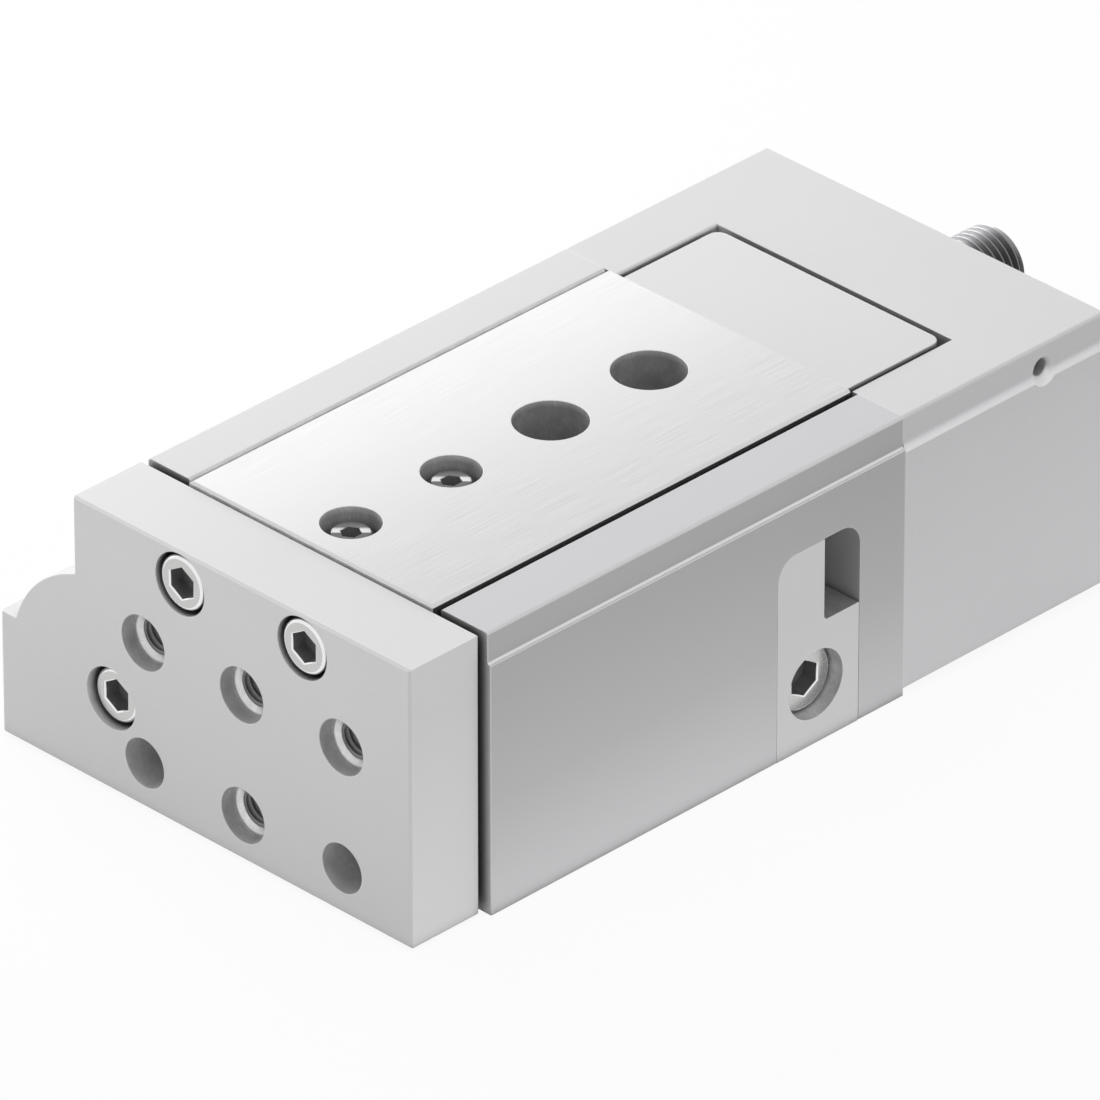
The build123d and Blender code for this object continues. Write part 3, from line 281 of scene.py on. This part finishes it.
# Painted light and shade on the slide screws' rims, from the front right to the rear left: a painted shadow at
# the front, a painted highlight streak over the middle of each slide screw, and grey behind
SUNK_PAINTED_LIGHT = (
    (-39, 0.4), (-35.9, 0.4), (-35.7, 2.2), (-35.0, 2.2), (-34.6, 0.6), (-30, 0.6), (-29.8, 0.4),
    (-24.6, 0.4), (-24.4, 2.2), (-23.7, 2.2), (-23.3, 0.6), (-20, 0.6),
)
MATERIALS = {
    # Painted light and shade: the right side lighter low down as a painted floor reflection and darker towards
    # the rear, the top darker and cooler to the right, left faces darker, and a painted highlight on edges that
    # turn up
    "body": blasted(
        "body_aluminium", (0.74, 0.74, 0.745), metallic=0.35, rough=0.42,
        right=((0, 1.09), (3, 1.06), (15, 0.85), (29, 0.74), (33, 0.72)),
        along=((-45, 1.01), (-10, 0.99), (15, 0.93)), top=((0, 0.97), (26, (0.866, 0.863, 0.89))),
        left=LEFT_SHADE, lifted=LIFTED_HIGHLIGHT, tinge=COOL,
    ),
    # Painted light and shade: the right side lighter low down as a painted floor reflection, left faces darker,
    # and a painted highlight on edges that turn up
    "rear": blasted(
        "rear_aluminium", (0.74, 0.74, 0.745), metallic=0.35, rough=0.55,
        right=((2, 1.12), (28, 1.03), (33, 0.99), (34, 0.93)), left=LEFT_SHADE, lifted=LIFTED_HIGHLIGHT, tinge=COOL,
    ),
    # Painted light and shade: the right side lighter low down, the front lighter up high, the top darker towards
    # the middle, and left faces darker
    "yoke": blasted(
        "yoke_aluminium", (0.765, 0.765, 0.765), metallic=0.35, rough=0.45, right=((2, 1.19), (30, 1.06)),
        front=((2, 0.98), (32, 1.10)), top=((-15, 1.0), (5, 0.965), (25, 0.985)), left=LEFT_SHADE,
    ),
    # Painted light on the top, falling off to the right
    "cover": blasted(
        "cover_aluminium", (0.76, 0.76, 0.76), metallic=0.35, rough=0.50,
        top=((-8, 1.0), (6, 0.99), (20, 0.96)),
    ),
    # Painted light: the right side lighter low down as a painted floor reflection
    "block": blasted(
        "block_aluminium", (0.77, 0.77, 0.775), metallic=0.35, rough=0.38, grain=0.025, bump=0.000003,
        right=((2, 1.09), (14, 1.03), (20, 1.02)), tinge=COOL,
    ),
    "slide": ground("slide_steel", (0.64, 0.64, 0.64), rough=0.15, bump=0.0000008, metallic=0.9, grain=0.015),
    "hard": ground("hardened_steel", (0.50, 0.50, 0.51), rough=0.25),
    "rod": ground("rod_steel", (0.70, 0.70, 0.71), rough=0.14),
    "screw": turned("screw_steel", (0.57, 0.57, 0.565), rough=0.27, grain=0.015),
    # Painted highlight rings round the screw heads and their sockets
    "rim": turned("screw_rim_painted_highlight", (0.86, 0.86, 0.86), rough=0.22),
    "sunk": turned("sunk_screw_steel", (0.18, 0.18, 0.18), rough=0.3),
    # Painted shadow and painted highlight streak on the slide screws' rims
    "sunk_rim": turned(
        "sunk_screw_rim_painted_light", (0.32, 0.32, 0.32), rough=0.3, lit=SUNK_PAINTED_LIGHT, way=(-0.7071, 0.7071, 0.0),
    ),
    # Painted shade on the thread ridges inside tapped holes
    "thread": turned("thread_painted_shade", (0.34, 0.34, 0.34), rough=0.5, metallic=0.4),
    # Painted highlight on the absorber's left side and painted shade on its right side; edges brighter, partly
    # worn and partly a painted highlight
    "absorber": turned(
        "absorber_steel", (0.30, 0.30, 0.305), rough=0.3, wear_and_highlight=0.12,
        lit=((1, 3.0), (4.5, 2.7), (7.5, 1.0), (9.5, 0.6), (11, 0.6)),
    ),
    "ball": turned("ball_steel", (0.75, 0.75, 0.76), rough=0.10, grain=0.02, bump=0.0000005),
    "brass": turned("gland_brass", (0.76, 0.60, 0.33), rough=0.26),
    "piston": turned("piston_aluminium", (0.72, 0.72, 0.73), rough=0.30),
    # Painted shade inside the screw sockets and the absorber's socket
    "socket": bored("socket_painted_shade", (0.28, 0.28, 0.28)),
    "end": bored("slide_end_face", (0.70, 0.70, 0.70), metallic=0.2, rough=0.5),
    # Painted shade on the walls of the yoke's tapped holes
    "tapped": bored("tapped_wall_painted_shade", (0.45, 0.45, 0.45), metallic=0.4),
    "drilled": bored("drilled_wall", (0.80, 0.80, 0.80), metallic=0.3),
    "sunken": bored("counterbore_wall", (0.66, 0.66, 0.66), metallic=0.35),
    # Painted highlight on the seats round the yoke's tapped holes
    "seat": bored("thread_seat_painted_highlight", (0.95, 0.95, 0.95), metallic=0.6, rough=0.35),
    # Painted shade on the bore walls of the slide and carriage, and painted light towards the slide's top face
    "deep": bored(
        "slide_bore_wall_painted_shade_and_light", (0.52, 0.52, 0.52), rough=0.4, mouth=((35.0, 1.0), (36.6, 1.0), (37.5, 1.9)),
    ),
    # Painted light on the slide screws' recess walls towards the slide's top face
    "recess": bored(
        "screw_recess_wall_painted_light", (0.60, 0.60, 0.60), metallic=0.3, rough=0.4,
        mouth=((35.0, 1.0), (36.6, 1.0), (37.5, 1.7)),
    ),
    "wall": bored("pocket_wall", (0.97, 0.97, 0.97), metallic=0.1, rough=0.5),
    # Painted shade on the walls of the window in the housing and side block
    "shade": bored("window_wall_painted_shade", (0.42, 0.42, 0.425), metallic=0.3, rough=0.5),
    "cage": moulded("cage_plastic", (0.05, 0.05, 0.055), rough=0.45),
    "rubber": moulded("seal_rubber", (0.02, 0.02, 0.02), rough=0.6),
    "magnet": moulded("magnet_black", (0.04, 0.04, 0.042), rough=0.5),
}
DRESS = {
    "body": ("housing",),
    "rear": ("rear_housing",),
    "yoke": ("yoke_plate",),
    "cover": ("slide_rear_cover",),
    "block": ("side_block",),
    "slide": ("slide_table",),
    "hard": ("guide_carriage", "guide_rail_left", "guide_rail_right", "stop_dog"),
    "rod": ("piston_rod", "absorber_plunger"),
    "screw": (
        "yoke_screws", "rod_screw", "dog_screws", "housing_screws", "side_block_screw", "stop_bolt", "stop_nut",
        "piston_nut", "gland_circlip",
    ),
    "sunk": ("slide_screws",),
    "absorber": ("absorber_body", "absorber_nut"),
    "ball": ("cage_balls_left", "cage_balls_right"),
    "brass": ("rod_gland", "bore_bung"),
    "piston": ("piston",),
    "cage": ("ball_cage_left", "ball_cage_right"),
    "rubber": ("piston_seals", "rod_seal", "bore_seals", "stop_buffer"),
    "magnet": ("piston_magnet",),
}
for key, node_names in DRESS.items():
    for node_name in node_names:
        data = nodes[node_name].data
        data.materials.clear()
        data.materials.append(MATERIALS[key])


# Tests that choose faces or edges by their points in mm
def hole(axis, spots, reach, low, high, near=0.0):
    """Test for points near to reach off the axes through the spots, and between low and high along them."""
    u, v = [i for i in range(3) if i != axis]

    def test(points):
        return any(
            all(near <= math.hypot(p[u] - a, p[v] - b) < reach and low < p[axis] < high for p in points)
            for a, b in spots
        )
    return test


def block(low, high):
    """Test for points inside a box."""
    return lambda points: all(low[i] < p[i] < high[i] for p in points for i in range(3))


def head(axis, spots, top, out, socket, collar, rim):
    """Tests and materials for a socket screw's head, whose top face looks out, 1 or -1, along the axis.

    socket is the reach of the socket's faces, which take painted shade, and collar and rim are the least and
    greatest radius of the painted highlight rings round the socket and round the head.
    """
    def under(near, far):
        """Low and high bound of what lies from near to far under the top."""
        return sorted((top - out * near, top - out * far))

    return (
        (hole(axis, spots, socket, *under(0.14, 2.9)), "socket"),
        (hole(axis, spots, collar[1], *under(-0.05, 0.22), collar[0]), "rim"),
        (hole(axis, spots, rim[1], *under(-0.05, 0.55), rim[0]), "rim"),
    )


# Rounded pieces and threads
BEVELLED_ANGLE = math.radians(28)
SHARP_ANGLE = math.radians(60)
FLAT_ANGLE = math.radians(0.4)
RIDGE_ANGLE = math.radians(25)
THREAD_STEPS = 48


def placed(name, data):
    """New object in the scene from a mesh, lamp or camera."""
    made = bpy.data.objects.new(name, data)
    bpy.context.scene.collection.objects.link(made)
    return made


@contextmanager
def editing(mesh):
    """The mesh as a bmesh, which is written back at the end."""
    bm = bmesh.new()
    bm.from_mesh(mesh)
    yield bm
    bm.to_mesh(mesh)
    bm.free()


def applied(piece):
    """The piece's mesh with its modifiers worked in."""
    bpy.context.view_layer.update()
    piece.data = bpy.data.meshes.new_from_object(piece.evaluated_get(bpy.context.evaluated_depsgraph_get()))
    piece.modifiers.clear()
    return piece.data


def chosen(points, tests):
    return any(test([p.co / MM for p in points]) for test in tests)


def rounded(node_name, width, inner=(), move=None, plain=True, crisp=()):
    """The CAD node's own shape with its sharp convex edges rounded by a bevel width, in mm.

    inner lists (test, material) for faces of another material, and move gives a vertex its new place in mm. plain
    joins the triangles of flat faces first, and crisp lists tests for edges that stay sharp.
    """
    mesh = nodes[node_name].data.copy()
    piece = placed(node_name + "_dressed", mesh)
    with editing(mesh) as bm:
        bmesh.ops.remove_doubles(bm, verts=bm.verts, dist=1e-6)
        if plain:
            bmesh.ops.dissolve_limit(bm, angle_limit=FLAT_ANGLE, verts=bm.verts, edges=bm.edges, delimit=set())
        if move:
            for v in bm.verts:
                v.co = Vector(move(*(v.co / MM))) * MM
        for f in bm.faces:
            f.smooth = True
        weight = bm.edges.layers.float.new("bevel_weight_edge")
        for e in bm.edges:
            if e.is_manifold and e.calc_face_angle() > BEVELLED_ANGLE:
                e.smooth = e.is_convex and not chosen(e.verts, crisp)
                e[weight] = 1.0 if e.smooth else 0.0
    bevel = piece.modifiers.new("edges", "BEVEL")
    bevel.width = width * MM
    bevel.segments = 2
    bevel.limit_method = "WEIGHT"
    bevel.use_clamp_overlap = False
    bevel.miter_outer = "MITER_ARC"
    with editing(applied(piece)) as bm:
        for e in bm.edges:
            angle = e.calc_face_angle() if e.is_manifold else 0
            if angle > SHARP_ANGLE or (angle > BEVELLED_ANGLE and chosen(e.verts, crisp)):
                e.smooth = False
    piece.modifiers.new("normals", "WEIGHTED_NORMAL").keep_sharp = True
    made = applied(piece)
    places = [v.co / MM for v in made.vertices]
    for test, key in inner:
        made.materials.append(MATERIALS[key])
        for face in made.polygons:
            if test([places[i] for i in face.vertices]):
                face.material_index = len(made.materials) - 1
    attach(piece, body_of[node_name])
    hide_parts(node_name)


def thread(name, node_name, centre, axis, root, crest, start, end, pitch, key, chamfer=0.0):
    """Helical ridges from root to crest radius round an axis, in mm, turned down over the chamfer at the end."""
    profile = ((0.0, root), (0.1, root), (0.42, crest), (0.58, crest), (0.9, root))
    row = len(profile)
    turns = math.ceil((end - start) / pitch) + 1
    u, v = [i for i in range(3) if i != axis]
    verts = []
    for i in range((turns + 1) * THREAD_STEPS + 1):
        angle = 2 * math.pi * i / THREAD_STEPS
        for share, radius in profile:
            at = min(end, max(start, start + (i / THREAD_STEPS - 1 + share) * pitch))
            if chamfer:
                radius = min(radius, crest - max(0.0, at - (end - chamfer)))
            point = [0.0, 0.0, 0.0]
            point[axis] = at * MM
            point[u] = (centre[0] + radius * math.cos(angle)) * MM
            point[v] = (centre[1] + radius * math.sin(angle)) * MM
            verts.append(point)
    faces = []
    for i in range(turns * THREAD_STEPS):
        for j in range(row):
            a = i * row + j
            b = a + 1 if j < row - 1 else (i + THREAD_STEPS) * row
            faces.append((a, b, b + row, a + row))
    mesh = bpy.data.meshes.new(name)
    mesh.from_pydata(verts, [], faces)
    with editing(mesh) as bm:
        bmesh.ops.remove_doubles(bm, verts=bm.verts, dist=1e-7)
        bmesh.ops.dissolve_degenerate(bm, edges=bm.edges, dist=1e-7)
        for f in bm.faces:
            f.smooth = True
    mesh.set_sharp_from_angle(angle=RIDGE_ANGLE)
    mesh.materials.append(MATERIALS[key])
    piece = placed(name, mesh)
    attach(piece, body_of[node_name])


# Places on the part in mm, where spots are the axes of holes and screws
RIGHT_FACE, BODY_TOP, YOKE_TOP, SLIDE_TOP = 34.1, 37.2, 37.0, 37.5
YOKE_FRONT, SLIDE_FRONT, BODY_SEAM, REAR_FACE = -61.8, -50.8, 17.0, 50.8
INSET = 0.01
CENTRING = ((-10, 22.2), (6, 22.2), (22, 22.2), (6, 6.2))
ACCESS = ((-10, 6.2), (22, 6.2))
YOKE_SCREWS = ((-3.85, 32.6), (15.85, 32.6))
ROD_SCREW = ((-15.4, 12.5),)
SLIDE_SCREWS = ((6, -44.3), (6, -28.3))
SLIDE_BORES = ((6, -12.3), (6, 3.7))
SIDE_SCREW = ((2.5, 7.9),)
JOINT_SCREWS = ((29.6, 30.5), (29.6, 5.0), (-17.6, 30.5), (-27.5, 5.0))
BASE_HOLES = ((-28, -38.1), (26, -38.1), (-28, -8.1), (26, -8.1))
PORTS = ((-15.4, 8.5), (-26.6, 15.5))
ABSORBER = (6, 28.1)
AT_BODY_SEAM = block((-40, BODY_SEAM - 0.1, -1), (40, BODY_SEAM + 0.1, 40))
AT_COVER_SEAM = block((-20, 9.0, 30), (35, 20.0, 40))


YOKE_DRILL, YOKE_ROOT, SEAT_REACH, SEAT_GROWTH = 2.1, 2.4, 2.7, 1.4
DOME_FROM, DOME_REACH, DOME_RISE, DOME_SHARE = 33.3, 3.4, 1.0, 0.72
DOME_SOCKET, DOME_SOCKET_SHARE = 1.9, 0.68
ABSORBER_CORE, ABSORBER_SEAT_END = 4.39, 34.0


def scaled(value, middle, share):
    return middle + (value - middle) * share


def widened(x, y, z):
    """The yoke's four drilled holes widened to the roots of their threads, and their seats by more."""
    for across, up in CENTRING:
        reach = math.hypot(x - across, z - up)
        if reach < SEAT_REACH:
            share = (YOKE_ROOT + (reach - YOKE_DRILL) * SEAT_GROWTH) / reach
            return scaled(x, across, share), y, scaled(z, up, share)
    return x, y, z


def domed(x, y, z):
    """The slide screws' heads, domed round a smaller socket."""
    (across, front), (_, rear) = SLIDE_SCREWS
    middle = front if y < (front + rear) / 2 else rear
    reach = math.hypot(x - across, y - middle)
    if z < DOME_FROM or reach > DOME_REACH:
        return x, y, z
    share = DOME_SOCKET_SHARE if reach < DOME_SOCKET else DOME_SHARE
    return scaled(x, across, share), scaled(y, middle, share), z + DOME_RISE


def core(x, y, z):
    """The absorber's body behind its seat, turned down to the root of its thread."""
    across, up = ABSORBER
    reach = math.hypot(x - across, z - up)
    if y < ABSORBER_SEAT_END or reach < ABSORBER_CORE:
        return x, y, z
    share = ABSORBER_CORE / reach
    return scaled(x, across, share), y, scaled(z, up, share)


rounded("housing", 0.12, (
    (block((26.0, 9.5, -1.0), (RIGHT_FACE - INSET, 9.8, 30.0)), "shade"),
    (block((-14.4, -50.2, 0.0), (-14.0, BODY_SEAM + 0.1, BODY_TOP - INSET)), "wall"),
    (hole(Z, BASE_HOLES, 3.52, INSET, 2.0), "sunken"),
    (hole(Z, BASE_HOLES, 2.15, 0.1, 9.0), "drilled"),
), crisp=(block((RIGHT_FACE - 0.2, -8.0, -1.0), (RIGHT_FACE + 0.1, 10.0, 28.0)), AT_BODY_SEAM))
rounded("rear_housing", 0.15, (
    (hole(Y, PORTS, 2.15, 43.0, REAR_FACE - INSET), "drilled"),
    (hole(Y, JOINT_SCREWS, 3.0, 46.0, REAR_FACE - INSET), "drilled"),
), crisp=(AT_BODY_SEAM,))
rounded("yoke_plate", 0.1, (
    (hole(Y, CENTRING, 3.52, YOKE_FRONT + INSET, -59.0), "sunken"),
    (hole(Y, CENTRING, 3.22, -59.9, -59.1), "seat"),
    (hole(Y, CENTRING, 2.45, -59.4, -50.0), "tapped"),
    (hole(Y, ACCESS, 3.2, YOKE_FRONT + INSET, -50.0), "drilled"),
    (hole(Y, YOKE_SCREWS + ROD_SCREW, 3.85, YOKE_FRONT + INSET, -50.0), "drilled"),
), widened, crisp=(block((-40, -62, YOKE_TOP - 0.4), (40, -50, YOKE_TOP + 0.1)),))
rounded("slide_table", 0.08, (
    (hole(Z, SLIDE_SCREWS, 3.65, 30.0, SLIDE_TOP - INSET), "recess"),
    (hole(Z, SLIDE_BORES, 4.6, 29.0, SLIDE_TOP - INSET), "deep"),
    (block((-20, SLIDE_FRONT - 0.1, 30), (35, SLIDE_FRONT + 0.1, SLIDE_TOP - INSET)), "end"),
), crisp=(AT_COVER_SEAM,))
rounded("slide_rear_cover", 0.1, crisp=(AT_COVER_SEAM,))
rounded("side_block", 0.03, (
    (hole(X, SIDE_SCREW, 4.6, 27.0, RIGHT_FACE - INSET), "sunken"),
    (block((26.0, 3.7, 15.8), (RIGHT_FACE - INSET, 9.9, 27.0)), "shade"),
))
rounded("guide_carriage", 0.1, ((hole(Z, SLIDE_BORES, 2.6, 24.0, 30.1), "deep"),))
rounded("yoke_screws", 0.2, head(Y, YOKE_SCREWS, -61.5, -1, 2.2, (1.7, 2.4), (2.95, 3.55)))
rounded("rod_screw", 0.2, head(Y, ROD_SCREW, -60.9, -1, 2.2, (1.7, 2.4), (2.95, 3.55)))
rounded("slide_screws", 0.16, (
    (hole(Z, SLIDE_SCREWS, 1.3, 33.0, 36.16), "socket"),
    (hole(Z, SLIDE_SCREWS, 2.35, 36.1, 36.4, 0.9), "sunk_rim"),
), domed)
rounded("side_block_screw", 0.2, head(X, SIDE_SCREW, 32.3, 1, 2.4, (1.9, 2.65), (3.7, 4.3)))
rounded("housing_screws", 0.16, head(Y, JOINT_SCREWS, 50.3, 1, 1.6, (1.1, 1.75), (2.2, 2.8)))
rounded("absorber_nut", 0.2)
rounded("absorber_body", 0.1, ((hole(Y, (ABSORBER,), 1.9, 58.5, 61.72), "socket"),), core, plain=False)
thread("absorber_thread", "absorber_body", ABSORBER, Y, 4.4, 5.0, 45.0, 61.8, 1.0, "absorber", chamfer=0.6)
# Threads in tapped holes, dark with painted shade
for name, node_name, spots, axis, root, crest, start, end, pitch in (
    ("yoke_thread_%d", "yoke_plate", CENTRING, Y, 2.41, 2.1, -59.2, -51.0, 0.8),
    ("base_thread_%d", "housing", BASE_HOLES, Z, 2.11, 1.95, 1.9, 7.8, 0.8),
    ("port_thread_%d", "rear_housing", PORTS, Y, 2.11, 1.95, 44.2, 50.4, 0.8),
    ("carriage_thread_%d", "guide_carriage", SLIDE_BORES, Z, 2.51, 2.3, 24.6, 29.9, 1.0),
):
    for n, spot in enumerate(spots):
        thread(name % n, node_name, spot, axis, root, crest, start, end, pitch, "thread")

# Studio in metres: the world, the floor and the lamps
WORLD_LIGHT = 0.1
FLOOR_REACH = 4.0
FLOOR_DROP = 0.01 * MM
FLOOR_GLOW = 1.02
FLOOR_GLOW_SHARE = 0.9

world = bpy.data.worlds.new("studio")
bpy.context.scene.world = world
world.use_nodes = True
world.node_tree.nodes.clear()
sky = Graph(world.node_tree)
light_sky = sky.add("ShaderNodeBackground", Color=(1, 1, 1, 1), Strength=WORLD_LIGHT)
white_sky = sky.add("ShaderNodeBackground", Color=(1, 1, 1, 1), Strength=1.0)
sky.feed(sky.add("ShaderNodeOutputWorld").inputs["Surface"], sky.mix_shaders(sky.seen(), light_sky, white_sky))

floor_material = bpy.data.materials.new("floor_white")
floor_material.use_nodes = True
floor_material.node_tree.nodes.clear()
paint = Graph(floor_material.node_tree)
glow_share = paint.maths("MULTIPLY", paint.seen(), FLOOR_GLOW_SHARE)
matt = paint.add("ShaderNodeBsdfDiffuse", Color=(0.85, 0.85, 0.85, 1))
glow = paint.add("ShaderNodeEmission", Strength=FLOOR_GLOW)
paint.feed(paint.add("ShaderNodeOutputMaterial").inputs["Surface"], paint.mix_shaders(glow_share, matt, glow))
floor_mesh = bpy.data.meshes.new("floor")
corners = [(x * FLOOR_REACH, y * FLOOR_REACH, -FLOOR_DROP) for x, y in ((-1, -1), (1, -1), (1, 1), (-1, 1))]
floor_mesh.from_pydata(corners, [], [(0, 1, 2, 3)])
floor_mesh.materials.append(floor_material)
floor = placed("floor", floor_mesh)


def panel(name, centre, target, size, radiance, mirrored=True):
    """Soft rectangular lamp; radiance 1 looks white, and mirrored lets polished faces reflect it."""
    light = bpy.data.lights.new(name, "AREA")
    light.shape = "RECTANGLE"
    light.size, light.size_y = size
    light.energy = radiance * math.pi * size[0] * size[1]
    lamp = placed(name, light)
    away = (Vector(centre) - Vector(target)).normalized()
    lamp.rotation_euler = away.to_track_quat("Z", "Y").to_euler()
    lamp.location = centre
    lamp.visible_glossy = mirrored


panel("top_panel", (0.0, 0.05, 0.75), (0, 0, 0), (0.9, 0.9), 1.25, False)
panel("left_panel", (-0.25, 0.15, 0.125), (0.0, 0.15, 0.125), (0.7, 0.25), 0.64)
panel("left_fill", (-0.22, 0.0, 0.16), (0, 0, 0.03), (0.25, 0.12), 2.4, False)
panel("front_panel", (-0.25, -0.9, 0.5), (0, 0, 0), (0.6, 0.5), 0.9, False)
panel("right_panel", (0.9, -0.1, 0.5), (0, 0, 0), (0.6, 0.5), 1.55, False)

# Camera at the photo's angle, fitted to the photo's straight edges
CAMERA_RIGHT = Vector((0.7092, 0.7050, 0.0))
CAMERA_UP = Vector((-0.3630, 0.3652, 0.8572))
CAMERA_BACK = Vector((0.6043, -0.6079, 0.5149))
LOOKED_AT = Vector((1.85, -8.26, 16.75)) * MM
CAMERA_DISTANCE = 1.978
camera_data = bpy.data.cameras.new("camera")
camera_data.sensor_width = 36.0
camera_data.lens = 562.8
camera_data.clip_start = 0.1
camera_data.clip_end = 20.0
camera = placed("camera", camera_data)
turn = Matrix((CAMERA_RIGHT, CAMERA_UP, CAMERA_BACK)).transposed().to_4x4()
camera.matrix_world = Matrix.Translation(LOOKED_AT + CAMERA_BACK * CAMERA_DISTANCE) @ turn
bpy.context.scene.camera = camera
bpy.context.scene.view_settings.view_transform = "Standard"
